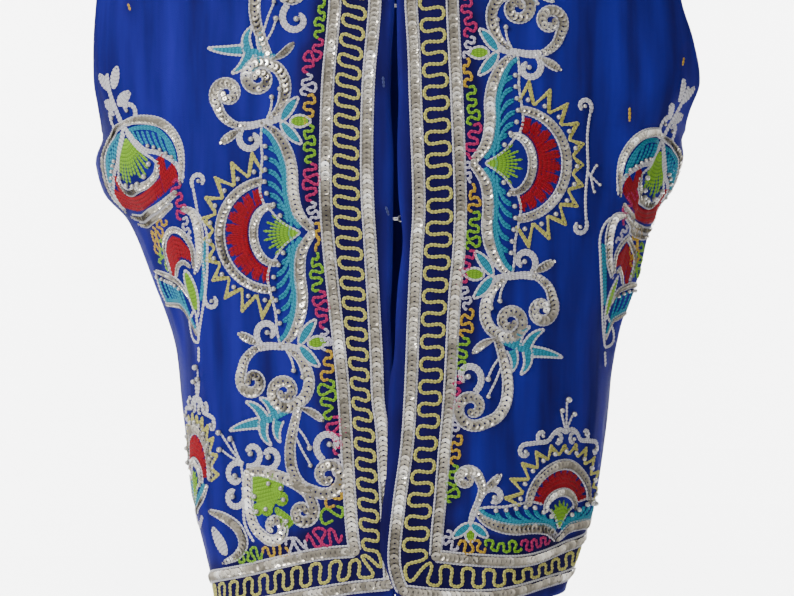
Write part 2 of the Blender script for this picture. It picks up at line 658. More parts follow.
def makePanel(panel, name, columns, node):
    angles, levels = panelPlaces(panel, columns)
    rows, wide = angles.shape
    outer = clothPoint(panel, angles, levels)
    normal = clothNormal(panel, angles, levels)
    # a narrow turned hem along every free edge
    run = np.linalg.norm(np.diff(outer, axis=1), axis=-1)
    fromStart = np.concatenate([np.zeros((rows, 1)), np.cumsum(run, axis=1)], axis=1)
    fromEnd = fromStart[:, -1:] - fromStart
    rise = np.linalg.norm(np.diff(outer, axis=0), axis=-1)
    fromHem = np.concatenate([np.zeros((1, wide)), np.cumsum(rise, axis=0)], axis=0)
    fromTop = fromHem[-1:] - fromHem
    edge = np.minimum(np.minimum(fromStart, fromEnd), np.minimum(fromHem, fromTop))
    narrow, wider = (panelGrid["hemWidth"] * ease for ease in panelGrid["hemEase"])
    roll = panelGrid["hemRoll"] * (1 - smooth(narrow, wider, edge))
    inner = outer - normal * (panelGrid["cloth"] + roll)[..., None]
    outer = outer + normal * (roll * panelGrid["hemOut"])[..., None]
    count = rows * wide
    outside = gridFaces(rows, wide, 0, panel == "back")
    inside = gridFaces(rows, wide, count, panel != "back")
    top = (rows - 1) * wide + np.arange(wide - 2, -1, -1)
    ring = np.concatenate([np.arange(wide), np.arange(1, rows) * wide + wide - 1, top,
                           np.arange(rows - 2, 0, -1) * wide])
    after = np.roll(ring, -1)
    rim = np.stack([ring + count, after + count, after, ring], -1)
    rim = rim[:, ::-1] if panel == "back" else rim
    side = np.where(outer[..., 0] < 0, -1, 1)
    turn = np.abs(angles) if panel != "back" else math.pi - np.abs(angles)
    across = np.where(side < 0, acrossOf(-1, turn, levels), acrossOf(1, turn, levels))
    worked = np.where(side < 0, workedShare(-1, across, levels), workedShare(1, across, levels))
    if panel == "back":
        middle = math.pi + 0 * turn
        whole = np.where(side < 0, acrossOf(-1, middle, levels), acrossOf(1, middle, levels))
        across = panelGrid["backShift"] + whole - across
    values = {"clothAcross": np.tile(across.ravel(), 2), "clothAlong": np.tile(levels.ravel(), 2),
              "worked": np.tile(worked.ravel(), 2)}
    points = np.concatenate([outer.reshape(-1, 3), inner.reshape(-1, 3)])
    piece = makeMesh(name, points, np.concatenate([outside, inside, rim]), materials["cloth"], values=values)
    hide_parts(node)


# Paths on the flat cloth
pathStep = {"long": 1.0, "figure": 0.8, "cloth": 1.5}


def curve(points, step=pathStep["long"]):
    # even, smooth path through a few places
    points = np.asarray(points, float)
    if len(points) > 2:
        padded = np.vstack([2 * points[0] - points[1], points, 2 * points[-1] - points[-2]])
        pieces = []
        for a, b, c, d in zip(padded[:-3], padded[1:-2], padded[2:-1], padded[3:]):
            count = max(3, int(np.linalg.norm(c - b) / step) + 1)
            t = np.linspace(0, 1, count, endpoint=False)[:, None]
            pieces.append(0.5 * (2 * b + (c - a) * t + (2 * a - 5 * b + 4 * c - d) * t ** 2
                                 + (3 * b - a - 3 * c + d) * t ** 3))
        pieces.append(points[-1:])
        points = np.vstack(pieces)
    return points


def figureCurve(points):
    return curve(points, pathStep["figure"])


def evenly(path, step):
    lengths = np.concatenate([[0], np.cumsum(np.linalg.norm(np.diff(path, axis=0), axis=1))])
    count = max(2, int(round(lengths[-1] / step)) + 1)
    where = np.linspace(0, lengths[-1], count)
    return np.stack([np.interp(where, lengths, path[:, k]) for k in (0, 1)], -1), where / lengths[-1]


def beside(path, distance):
    # the path moved to its left by a distance, which may change along it
    forward = np.gradient(path, axis=0)
    forward /= np.maximum(np.linalg.norm(forward, axis=1, keepdims=True), 1e-9)
    return path + np.stack([-forward[:, 1], forward[:, 0]], -1) * np.reshape(distance, (-1, 1))


def arc(centre, radius, start, end, step=pathStep["long"]):
    # part of a ring round a centre, angles in degrees
    count = max(3, int(abs(math.radians(end - start)) * radius / step) + 1)
    t = np.radians(np.linspace(start, end, count))
    return np.stack([centre[0] + radius * np.cos(t), centre[1] + radius * np.sin(t)], -1)


def spiral(centre, outerRadius, innerRadius, start, turns):
    tightening = 0.8
    count = max(8, int(abs(turns) * 2 * math.pi * outerRadius / pathStep["figure"]))
    share = np.linspace(0, 1, count)
    t = math.radians(start) + 2 * math.pi * turns * share
    radius = outerRadius + (innerRadius - outerRadius) * share ** tightening
    return np.stack([centre[0] + radius * np.cos(t), centre[1] + radius * np.sin(t)], -1)


# Embroidery is gathered as arrays and joined into one mesh for each thread and side
stitch = {"pitch": 2.7, "width": 2.1, "height": 0.85, "sink": 0.25,
          "widths": (0.74, 0.98, 1.0, 0.88), "humps": (0.5, 1.0, 0.98, 0.78),
          "grooves": (0.8, 0.5, 0.25, 0.5),
          "pits": ((0.95, 0.8, 0.6, 0.8, 0.95), (0.7, 0.05, 0.7, 0.05, 0.7), (0.6, 0.0, 1.0, 0.0, 0.6),
                   (0.8, 0.15, 0.8, 0.15, 0.8)),
          "endRun": 0.6, "endShare": 0.35, "lean": 0.22, "ridge": 0.56, "rowSpacing": 1.5, "rowOverlap": 1.3}
sequin = {"diameter": 6.4, "pitch": 3.4, "height": 0.75, "cup": (0.42, 0.0, 0.02), "radii": (0.5, 0.3, 0.12),
          "tilt": 0.17, "tiltSpread": 0.08, "rollSpread": 0.11, "sides": 12, "line": 1.7, "linePitch": 2.3,
          "edge": 1.6, "overlap": 1.2, "least": 2.0, "share": 0.64, "patch": 6,
          "glint": {"patch": 0.7, "each": 0.4, "less": 0.04}}
basket = {}
workedPlaces = {-1: [], 1: []}


def gather(kind, side, points, faces, **values):
    store = basket.setdefault((kind, side), {"points": [], "faces": [], "values": [], "count": 0})
    store["points"].append(points)
    store["faces"].append(faces + store["count"])
    store["values"].append(values)
    store["count"] += len(points)


def alongCloth(path, side, step):
    # evenly spaced places on the cloth, with the outward, running and sideways directions
    fine = evenly(np.asarray(path, float), pathStep["cloth"])[0]
    place, _ = onCloth(fine, side)
    lengths = np.concatenate([[0], np.cumsum(np.linalg.norm(np.diff(place, axis=0), axis=1))])
    count = max(3, int(round(lengths[-1] / step)) + 1)
    where = np.linspace(0, lengths[-1], count)
    chosen = np.stack([np.interp(where, lengths, fine[:, k]) for k in (0, 1)], -1)
    workedPlaces[side].append(chosen)
    place, outward = onCloth(chosen, side)
    forward = np.gradient(place, axis=0)
    forward -= outward * np.sum(forward * outward, axis=1, keepdims=True)
    forward /= np.maximum(np.linalg.norm(forward, axis=1, keepdims=True), 1e-9)
    return place, outward, forward, np.cross(outward, forward), where


def chain(colour, path, side, width=None, pitch=None, height=None):
    # a row of chain stitch: linked loops with a groove between two threads, open where they lie on the cloth
    width, pitch, height = width or stitch["width"], pitch or stitch["pitch"], height or stitch["height"]
    rings = len(stitch["widths"])
    place, outward, forward, sideways, where = alongCloth(path, side, pitch / rings)
    count = len(place)
    phase = np.arange(count) % rings
    toEnd = np.minimum(where, where[-1] - where)
    ends = np.minimum(1, toEnd / (stitch["endRun"] * pitch) + stitch["endShare"])
    half = width / 2 * np.array(stitch["widths"])[phase] * ends
    hump = height * np.array(stitch["humps"])[phase] * ends
    groove = height * np.array(stitch["grooves"])[phase] * ends
    base = place - outward * stitch["sink"]
    back = forward * (-stitch["lean"] * pitch)
    ridge = outward * (hump + stitch["sink"])[:, None] + back
    aside, edge = sideways * (stitch["ridge"] * half)[:, None], sideways * half[:, None]
    rows = [base - edge, base - aside + ridge, base + outward * (groove + stitch["sink"])[:, None],
            base + aside + ridge, base + edge]
    wide = len(rows)
    points = np.stack(rows, 1).reshape(-1, 3)
    first = np.arange(count - 1)[:, None] * wide + np.arange(wide - 1)[None, :]
    faces = np.stack([first, first + 1, first + wide + 1, first + wide], -1).reshape(-1, 4)[:, ::-1]
    last = (count - 1) * wide
    caps = np.array([[0, 1, 3, 4], [last + 4, last + 3, last + 1, last]])
    pits = np.array(stitch["pits"])[phase]
    gather(colour, side, points, np.vstack([faces, caps]), stitchRun=np.repeat(where, wide),
           stitchAcross=np.tile([-2.0, -1.0, 0.0, 1.0, 2.0], count), stitchPit=pits.ravel())


def sequins(path, side, diameter=None, pitch=None):
    # overlapping cup sequins, each leaning on the one before
    pitch = pitch or sequin["pitch"]
    place, outward, forward, sideways, where = alongCloth(path, side, pitch)
    count, sides = len(place), sequin["sides"]
    sizes = np.atleast_1d(sequin["diameter"] if diameter is None else diameter)
    size = np.interp(where / where[-1], np.linspace(0, 1, len(sizes)), sizes)[:, None, None]
    lean = sequin["tilt"] + rng.normal(0, sequin["tiltSpread"], count)
    roll = rng.normal(0, sequin["rollSpread"], count)
    up = outward + forward * lean[:, None] + sideways * roll[:, None]
    up /= np.linalg.norm(up, axis=1, keepdims=True)
    right = np.cross(forward, up)
    right /= np.linalg.norm(right, axis=1, keepdims=True)
    ahead = np.cross(up, right)
    t = np.arange(sides) * 2 * math.pi / sides
    centre = place + outward * sequin["height"]
    circles = [centre[:, None] + right[:, None] * (radius * np.cos(t))[None, :, None] * size
               + ahead[:, None] * (radius * np.sin(t))[None, :, None] * size + up[:, None] * height
               for radius, height in zip(sequin["radii"], sequin["cup"])]
    points = np.stack(circles, 1).reshape(-1, 3)
    start = (np.arange(count) * 3 * sides)[:, None, None]
    around = np.arange(sides)[None, None, :]
    ringStart = (np.arange(2) * sides)[None, :, None]
    a = start + ringStart + around
    b = start + ringStart + (around + 1) % sides
    faces = np.stack([a, b, b + sides, a + sides], -1).reshape(-1, 4)
    knots = np.arange(0, count + 2 * sequin["patch"], sequin["patch"])
    slow = np.interp(np.arange(count), knots, rng.random(len(knots)))
    shares = sequin["glint"]
    glint = np.clip(shares["patch"] * slow + shares["each"] * rng.random(count) - shares["less"], 0, 1)
    gather("sequin", side, points, faces, glint=np.repeat(glint, 3 * sides))


def pearls(places, side, diameter=2.6):
    # small beads sewn on one by one
    places = np.asarray(places, float).reshape(-1, 2)
    place, outward = onCloth(places, side)
    around, levels = 10, 6
    helper = np.tile([0.0, 0.0, 1.0], (len(place), 1))
    right = np.cross(helper, outward)
    right /= np.linalg.norm(right, axis=1, keepdims=True)
    up = np.cross(outward, right)
    t = np.arange(around) * 2 * math.pi / around
    tilt = np.linspace(-math.pi / 2, math.pi / 2, levels + 1)
    radius = diameter / 2
    centre = place + outward * (radius * 0.85)
    circles = [centre[:, None] + right[:, None] * (radius * math.cos(v) * np.cos(t))[None, :, None]
               + up[:, None] * (radius * math.cos(v) * np.sin(t))[None, :, None]
               + outward[:, None] * (radius * math.sin(v)) for v in tilt[1:-1]]
    poles = [centre[:, None] - outward[:, None] * radius, centre[:, None] + outward[:, None] * radius]
    points = np.concatenate([*circles, *poles], 1)
    size = points.shape[1]
    quads = []
    for ring in range(levels - 2):
        for k in range(around):
            n = (k + 1) % around
            below, above = ring * around, (ring + 1) * around
            quads.append([below + k, below + n, above + n, above + k])
    low, high, top = (levels - 1) * around, (levels - 1) * around + 1, (levels - 2) * around
    for k in range(0, around, 2):
        a, b, c = k, (k + 1) % around, (k + 2) % around
        quads.append([low, c, b, a])
        quads.append([high, top + a, top + b, top + c])
    faces = (np.array(quads)[None] + (np.arange(len(place)) * size)[:, None, None]).reshape(-1, 4)
    gather("pearl", side, points.reshape(-1, 3), faces)


def sequinBand(path, side, width):
    # sequins between two lines of chain stitch
    path = evenly(path, 2.0)[0]
    line = sequin["line"]
    for sign in (-1, 1):
        chain("white", beside(path, sign * (width - line) / 2), side, width=line, pitch=sequin["linePitch"])
    sequins(path, side)


# Meanders: how far the turns swell, how round they are, and the step along them
swingShape = {"bulge": 0.12, "round": 0.7, "step": 0.4}


def meander(path, side, reach, period, colour="cream", bulge=swingShape["bulge"], slant=0.0, **settings):
    # one thread that swings from side to side with rounded turns. The reach is a width, or a way across.
    rough = np.concatenate([[0], np.cumsum(np.linalg.norm(np.diff(path, axis=0), axis=1))])
    share = np.linspace(0, 1, max(8, int(rough[-1] / swingShape["step"])))
    base = np.stack([np.interp(share * rough[-1], rough, path[:, k]) for k in (0, 1)], -1)
    turns = max(1, round(rough[-1] / period))
    swing = 2 * math.pi * turns * share
    if np.ndim(reach) < 2:
        wide = np.interp(share, np.linspace(0, 1, len(np.atleast_1d(reach))), np.atleast_1d(reach))
        across = (beside(base, 1.0) - base) * wide[:, None]
    else:
        across = np.stack([np.interp(share * rough[-1], rough, reach[:, k]) for k in (0, 1)], -1)
    shifted = np.clip(share + (slant * np.sin(swing) - bulge * np.sin(2 * swing)) / turns, 0, 1)
    moved, aside = (np.stack([np.interp(shifted, share, line[:, k]) for k in (0, 1)], -1)
                    for line in (base, across))
    throw = np.tanh(swingShape["round"] * np.sin(swing)) / math.tanh(swingShape["round"])
    chain(colour, moved + aside * throw[:, None], side, **settings)


# The bands that run down the free edges and along the hem, at places in the picture
bandPlan = {
    "width": 9.3, "meanderPitch": {-1: 13.8, 1: 15.5}, "slant": {-1: 0.13, 1: 0.03},
    "room": 1.4, "thread": 2.8,
    # behind the seam: the height over the hem at the middle of the back, and where the places start
    "behind": {"inner": 7.0, "outer": 35.0, "start": 0.12, "places": 12},
    -1: {"inner": [(375, 0), (368.5, 80), (366.6, 150), (367.5, 200), (370.5, 250), (376, 350), (378, 400),
                   (382, 430), (386, 500), (389, 560), (390, 584)],
         "outer": [(335, 0), (328, 80), (325.7, 150), (325.7, 200), (329, 250), (339.5, 350), (344, 400),
                   (348.7, 480), (352, 530), (355, 551)],
         "hemInner": [(355, 551), (320, 554), (280, 562), (245, 570), (222, 575), (207, 579)],
         "hemOuter": [(390, 584), (350, 588), (300, 596), (260, 603), (225, 608), (212, 610)]},
    1: {"inner": [(411, 0), (414, 50), (415.6, 100), (419, 200), (416.7, 250), (414.4, 300), (410, 400),
                  (406.4, 450), (399.5, 500), (394, 555), (398, 580), (403, 591)],
        "outer": [(452.3, 0), (457, 100), (460.4, 200), (459, 250), (454.6, 300), (449, 400), (444.3, 450),
                  (440, 500), (437, 530), (435, 556)],
        "hemInner": [(435, 556), (475, 560), (522, 561), (555, 552), (573, 543), (587, 530)],
        "hemOuter": [(403, 591), (445, 595), (495, 595), (535, 586), (561, 577), (577, 562)]},
    # from the shoulder seam round the neckline to the free edge, in millimetres on the flat cloth
    "neckInner": [(90, 7), (85, -25), (76, -58), (63, -88), (45, -112), (26, -130), (15, -146)],
    "neckOuter": [(117, 5), (111, -35), (98, -70), (77, -102), (55, -126), (43, -146)],
}


def bandPaths(side):
    # the two bands of a front, from the shoulder seam to the middle of the back's hem
    plan = bandPlan[side]
    paths = {}
    for name, neck, hem in (("inner", "neckInner", "hemOuter"), ("outer", "neckOuter", "hemInner")):
        collar = np.array(bandPlan[neck], float) * (side, 1)
        paths[name] = curve(np.vstack([collar, seen(plan[name], side)]))
        low = seen(plan[hem], side)
        end = low[-1]
        behindPlan = bandPlan["behind"]
        drop = float(hemLevel("back", np.array(0.0))) + behindPlan[name] - end[1]
        share = np.linspace(behindPlan["start"], 1, behindPlan["places"])[:, None]
        middle = float(acrossOf(side, np.array(math.pi), np.array(end[1])))
        behind = np.hstack([end[0] + (middle - end[0]) * share,
                            end[1] + drop * share ** 2 * (3 - 2 * share)])
        paths[name + "Hem"] = curve(np.vstack([low, behind]))
    return paths


def between(first, second):
    # the line midway between two paths, and half the way across at each place of it
    first, second = evenly(first, 1.5)[0], evenly(second, 0.5)[0]
    apart = np.linalg.norm(first[:, None] - second[None], axis=2)
    nearest = second[np.argmin(apart, axis=1)]
    return (first + nearest) / 2, (first - nearest) / 2


def frontBands(side):
    paths = bandPaths(side)
    for name, path in paths.items():
        sequinBand(path[::-1] if name.endswith("Hem") else path, side, bandPlan["width"])
    parts = [between(paths["inner"], paths["outer"]), between(paths["innerHem"], paths["outerHem"])]
    middle, half = (np.vstack([parts[0][k][:-1], parts[1][k]]) for k in (0, 1))
    reach = np.linalg.norm(half, axis=1) - bandPlan["width"] / 2 - bandPlan["room"]
    half *= (reach / np.linalg.norm(half, axis=1))[:, None]
    meander(middle, side, half, bandPlan["meanderPitch"][side], slant=bandPlan["slant"][side],
            width=bandPlan["thread"])


# How thickly the cloth is embroidered beside the bands, on a grid of flat places
workedGrid = {"cell": 4.0, "lowest": -640.0, "rows": 170, "columns": 125, "spread": 3, "full": 0.55,
              "stitches": 4}
workedTables = {}


def gatherWorked(side):
    # counts of stitches in each cell, softened twice
    counts = np.zeros((workedGrid["rows"], workedGrid["columns"]))
    for places in workedPlaces[side]:
        row = ((places[:, 1] - workedGrid["lowest"]) / workedGrid["cell"]).astype(int)
        columnPlace = (np.abs(places[:, 0]) / workedGrid["cell"]).astype(int)
        kept = (row >= 0) & (row < counts.shape[0]) & (columnPlace < counts.shape[1])
        np.add.at(counts, (row[kept], columnPlace[kept]), 1)
    share = np.minimum(1, counts / workedGrid["stitches"])
    kernel = np.ones(workedGrid["spread"]) / workedGrid["spread"]
    for _ in range(2):
        for axis in (0, 1):
            share = np.apply_along_axis(np.convolve, axis, share, kernel, "same")
    return np.clip(share / workedGrid["full"], 0, 1)


def workedShare(side, across, levels):
    row = (levels - workedGrid["lowest"]) / workedGrid["cell"] - 0.5
    return sampleGrid(workedTables[side], row, np.abs(across) / workedGrid["cell"] - 0.5)


# Figures. A figure's own places are (out, up) in millimetres from its centre. Out is away from the free edge.
def newPen(side, centre, lean=0.0, flip=1, scale=(1.0, 1.0), shift=(0.0, 0.0)):
    turn = math.radians(lean)

    def lay(points):
        points = (np.asarray(points, float).reshape(-1, 2) + shift) * (scale[0], scale[1] * flip)
        out = points[:, 0] * math.cos(turn) + points[:, 1] * math.sin(turn)
        up = points[:, 1] * math.cos(turn) - points[:, 0] * math.sin(turn)
        return np.stack([centre[0] + side * out, centre[1] + up], -1)
    return {"side": side, "lay": lay}


def draw(pen, colour, points, sharp=False, **settings):
    path = np.asarray(points, float) if sharp else figureCurve(points)
    chain(colour, pen["lay"](path), pen["side"], **settings)


def widthsAlong(share, widths):
    return np.interp(share, np.linspace(0, 1, len(widths)), widths)


def strands(pen, colour, points, widths):
    # rows of chain stitch side by side that fill a band of changing width
    path, share = evenly(pen["lay"](figureCurve(points)), pathStep["figure"])
    wide = widthsAlong(share, widths)
    spacing = stitch["rowSpacing"]
    rows = max(1, int(round(max(widths) / spacing)))
    for row in range(rows):
        line = beside(path, wide * ((row + 0.5) / rows - 0.5))
        chain(colour, line, pen["side"], width=spacing * stitch["rowOverlap"])


def ribbon(pen, points, widths):
    # sequins between two white lines, in a band of changing width
    path, share = evenly(pen["lay"](figureCurve(points)), 0.9)
    edge = sequin["edge"]
    wide = np.maximum(widthsAlong(share, widths), edge)
    for sign in (-1, 1):
        chain("white", beside(path, sign * (wide - edge) / 2), pen["side"], width=edge)
    discs = np.maximum(wide - 2 * edge + sequin["overlap"], sequin["least"])
    sequins(path, pen["side"], discs, float(np.mean(discs)) * sequin["share"])


def windUp(points, centre, turns, inner=2.2):
    # a path that ends in a spiral round a centre
    path = figureCurve(points)
    away = path[-1] - np.array(centre)
    start = math.degrees(math.atan2(away[1], away[0]))
    return np.vstack([path[:-1], spiral(centre, float(np.hypot(*away)), inner, start, turns)])


def curl(pen, start, centre, turns, widths=(3.4, 3.6, 3.0), bead=3.4):
    # a stem that winds up round a bead
    strands(pen, "white", windUp([start, start], centre, turns, bead * 0.72), widths)
    pearls(pen["lay"]([centre]), pen["side"], bead)


def beadStem(pen, points, bead=3.8):
    draw(pen, "white", points, width=1.9)
    pearls(pen["lay"](points[-1:]), pen["side"], bead)


# Leaves: where along them the widest place lies, how full they are, and the fill's distance from the edge
leafShape = {"widest": 0.85, "full": 0.75, "flameWidest": 1.5, "flameFull": 0.8, "inset": 0.9}


def leaf(pen, base, tip, half, fill, bend=0.0, edge="white", flame=False):
    # two curved sides that meet at the tip, filled with rows of stitches. A flame is widest at its foot.
    base, tip = np.array(base, float), np.array(tip, float)
    along = tip - base
    aside = np.array([-along[1], along[0]])
    share = np.linspace(0, 1, 15)
    middle = base + share[:, None] * along + (bend * np.sin(math.pi * share))[:, None] * aside
    wide = half * np.sin(math.pi * np.clip(share ** leafShape["widest"], 0, 1)) ** leafShape["full"]
    if flame:
        wide = half * (1 - share ** leafShape["flameWidest"]) ** leafShape["flameFull"]
    rows = max(1, int(round(2 * half / stitch["rowSpacing"])) - 1)
    for row in range(rows):
        place = ((row + 0.5) / rows - 0.5) * 2
        inside = beside(middle[1:-2], place * (wide[1:-2] - leafShape["inset"]))
        chain(fill, pen["lay"](inside), pen["side"], width=1.9)
    for sign in (-1, 1):
        chain(edge, pen["lay"](beside(middle, sign * wide)), pen["side"], width=2.0)


sun = {"radius": 37.5, "bands": (6.4, 8.2, 6.4), "reach": 84, "fanOuter": 33.6, "eye": (13.5, 19.5),
       "eyeBand": 3.4, "stitches": 74, "rays": 11, "rayReach": 88, "rayFoot": 42.6, "rayTip": (50.5, 58.5)}


def polar(radius, angle):
    return np.array([radius * math.cos(math.radians(angle)), radius * math.sin(math.radians(angle))])


def drawSun(pen, rays=True):
    # half sun: a sequinned arc, a red fan, a smaller arc and a lime sprig inside
    ribbon(pen, arc((0, 0), sun["radius"], -sun["reach"], sun["reach"]), sun["bands"])
    eyeOut, eyeUp = sun["eye"]
    reach = sun["reach"] - 2
    notches = (0.0, 0.4, 0.0, 2.0, 8.5, 4.0, 0.2)
    for k in range(sun["stitches"]):
        angle = -reach + 2 * reach * (k + 0.5) / sun["stitches"]
        t = math.radians(angle)
        wide, high = eyeOut + sun["eyeBand"], eyeUp + sun["eyeBand"]
        eyeRadius = 1 / math.hypot(math.cos(t) / wide, math.sin(t) / high)
        start = eyeRadius + (0.0 if k % 2 else 5.0 * rng.random())
        end = sun["fanOuter"] - notches[k % len(notches)] * (0.75 + 0.5 * rng.random())
        draw(pen, "red", [polar(start, angle), polar(end, angle + rng.normal(0, 0.8))], width=2.0, pitch=3.2,
             height=0.8)
    eye = arc((0, 0), 1.0, -100, 100, 0.05) * (eyeOut, eyeUp) + (-1, 0)
    ribbon(pen, eye, (4.6, 6.6, 6.8, 6.6, 4.6))
    for k, angle in enumerate(np.linspace(-38, 38, 11)):
        length = 25.5 - 0.09 * abs(angle) - (4.0 if k % 2 else 0.0)
        tip = np.array([-19.0, 0.0]) + polar(length, angle)
        draw(pen, "lime", [(-19.0, 0.0), tip * 0.5 + (-9.5, 0.0), tip], width=2.0)
    for sign in (-1, 1):
        draw(pen, "white", [(1.0, 20.0 * sign), (-8.0, 8.5 * sign), (-21.0, 0.0)], width=1.9)
    if rays:
        drawRays(pen)


def drawRays(pen):
    # zigzag of pointed rays, each with a bead in it
    step = 2 * sun["rayReach"] / sun["rays"]
    for inset in (0.0, 3.6):
        places = []
        for k in range(sun["rays"]):
            angle = -sun["rayReach"] + step * (k + 0.5)
            near, far = sun["rayTip"]
            tip = near + (far - near) * abs(math.sin(math.radians(angle))) - inset
            places += [polar(sun["rayFoot"], angle - step * (0.46 - 0.02 * inset)), polar(tip, angle + 1.5)]
        places.append(polar(sun["rayFoot"], sun["rayReach"]))
        draw(pen, "cream", places, sharp=True, width=2.0)
    beads = [polar(sun["rayFoot"] + 2.2, -sun["rayReach"] + step * (k + 0.5)) for k in range(sun["rays"])]
    pearls(pen["lay"](beads), pen["side"], 3.6)


def drawWing(pen):
    # wavy sequinned band with turquoise feathers that end in beads
    band = [(0, 77), (-9, 70), (-15.5, 58), (-18.4, 44), (-18, 28), (-20.5, 13), (-29, 1)]
    ribbon(pen, band, (3.0, 7.0, 8.4, 8.4, 8.4, 8.2, 6.0))
    strip = [(1, 73), (-5, 68), (-10.5, 56), (-13, 43), (-12.8, 28), (-14.5, 14), (-21, 3)]
    strands(pen, "turquoise", strip, (1.6, 3.6, 4.0, 4.0, 3.8, 3.0))
    for k, tip in enumerate((-3.0, -2.6, -1.6, -0.6, -1.4, -5.5, -9.5)):
        up = 60 - 8 * k
        root = (-11.5 - 0.2 * k, up - 12)
        for gap in (-1.1, 1.1):
            draw(pen, "turquoise", [root, (tip - 5.5, up - 3.4 + gap), (tip, up + gap * 0.7)], width=1.8)
        pearls(pen["lay"]([(tip + 1.6, up + 0.8)]), pen["side"], 3.7)
    draw(pen, "white", [(0, 76), (1.5, 66), (1.5, 54), (3.5, 42), (5.0, 30), (2.5, 20)], width=2.1)


def drawBracket(pen):
    draw(pen, "white", [(54, 0), (52.8, 18), (53.2, 30), (54, 38)], width=2.3)
    curl(pen, (54, 37.5), (48.8, 41.5), 0.8, (2.4, 3.0, 3.0), 3.0)


def drawJunction(pen):
    # stem and scroll away from the edge, tulip towards it
    strands(pen, "white", [(-13, 79), (-5, 77.5), (0, 77), (8, 76), (16, 76.5)], (3.0, 4.6, 4.4, 5.0, 5.6))
    ribbon(pen, windUp([(12, 76), (20, 78), (27.5, 84.5), (31, 93)], (22.8, 99.5), 1.1, 3.0),
           (4.4, 6.8, 8.4, 8.4, 8.0, 6.6))
    curl(pen, (14.5, 74.5), (8.2, 66.5), -0.85, (4.4, 4.4, 3.6), 3.8)
    ribbon(pen, [(16, 73.5), (23, 70), (30, 66)], (3.0, 6.4, 7.0, 4.4))
    for tipUp in (60, 93):
        leaf(pen, (-13.5, 77), (-27, tipUp), 3.4, "turquoise", 0.04 if tipUp < 77 else -0.04)
    leaf(pen, (-19.5, 76.5), (-34.5, 75.5), 4.2, "lime")
    beadStem(pen, [(-3, 78), (-7, 86), (-8.5, 94)])
    beadStem(pen, [(-6, 79), (-12, 89), (-14.5, 99)])


def drawInnerScroll(pen, aside):
    # scroll that turns back to the figure's middle, with a turquoise spray further out by a distance
    spray = [((-3, 124), (8, 111), 3.4, -0.14), ((5, 126), (19, 113), 3.4, -0.12), ((8, 128.5),
              (35, 132.5), 3.6, -0.03),
             ((6, 128), (1, 145), 3.4, -0.16), ((-6, 127), (-5.5, 143.5), 3.4, -0.14)]
    shift = np.array([aside, 0.0])
    strands(pen, "turquoise", np.array([(-13, 121.5), (-4, 124), (8, 128)]) + shift, (3.0, 6.5, 5.0))
    for base, tip, half, bend in spray:
        leaf(pen, base + shift, tip + shift, half, "turquoise", bend, flame=True)
    strands(pen, "turquoise", np.array([(-8, 123), (-2, 125), (8, 128.5), (14, 129.5)]) + shift,
            (3.0, 4.0, 3.0))
    ribbon(pen, windUp([(-7, 80), (-13, 86), (-17.6, 95), (-18.2, 105), (-14.5, 113), (-9, 117)],
                       (-0.5, 108), -1.3, 3.0),
           (5.0, 8.0, 8.6, 8.6, 8.4, 8.0, 6.6))
    ribbon(pen, [(-12, 120.5), (-19, 124), (-26, 130)], (3.0, 5.6, 6.2, 4.0))


def drawEndScroll(pen):
    ribbon(pen, windUp([(-9, 121), (-4, 136), (-1, 150), (-2, 164), (-8, 174), (-19, 179.5)],
                       (-26, 168), 1.15, 3.0),
           (6.0, 7.6, 8.6, 8.6, 8.6, 8.6, 8.0, 6.6))
    curl(pen, (-24, 157), (-29.5, 146.5), -0.85, (4.6, 4.6, 4.0), 4.2)
    beadStem(pen, [(-8, 134), (-12, 140), (-15.5, 148)], 4.2)
    beadStem(pen, [(-6, 140), (-10, 150), (-15, 160)], 3.4)


# Squiggles: one thread in bright colours that winds through the space beside a band
squiggle = {"pitch": 8.8, "bulge": 0.15, "colours": ("magenta", "lilac", "golden", "lime"),
            "lengths": (26.0, 15.0, 20.0, 27.0)}
squigglePlan = {
    -1: {"column": [(323, 0), (319, 28), (318, 48), (309, 62), (308, 85), (309, 105), (309, 135), (311, 165),
                    (311, 195), (314, 218), (318, 236), (316, 256), (317, 280), (322, 310), (325, 335),
                    (328, 362),
                    (328, 385), (328, 408), (337, 430), (338, 455), (336, 490), (334, 520)],
         "columnWidth": [4, 6, 7, 8, 8, 6, 7, 8, 8, 6, 2, 7, 8, 7, 6, 8, 9, 10, 6, 5, 9, 12],
         "hem": [(342, 536), (318, 538), (296, 545), (272, 551), (250, 555), (232, 562)],
         "hemWidth": [9, 11, 11, 7, 8, 3], "start": 3},
    1: {"column": [(464, 0), (470, 25), (469, 45), (466, 60), (468, 80), (472, 100), (474, 125), (472, 148),
                   (466, 165), (473, 188), (474, 215), (473, 240), (467, 262), (462, 285), (468, 305),
                   (466, 330),
                   (461, 350), (458, 375), (455, 400), (455, 425), (456, 448), (452, 480), (452, 505)],
         "columnWidth": [7, 8, 5, 4, 6, 7, 8, 7, 2, 7, 8, 8, 6, 5, 8, 9, 7, 6, 5, 7, 6, 8, 9],
         "hem": [(446, 532), (452, 545), (485, 546), (515, 547), (545, 541), (560, 533)],
         "hemWidth": [5, 8, 7, 6, 6, 3], "start": 0},
}


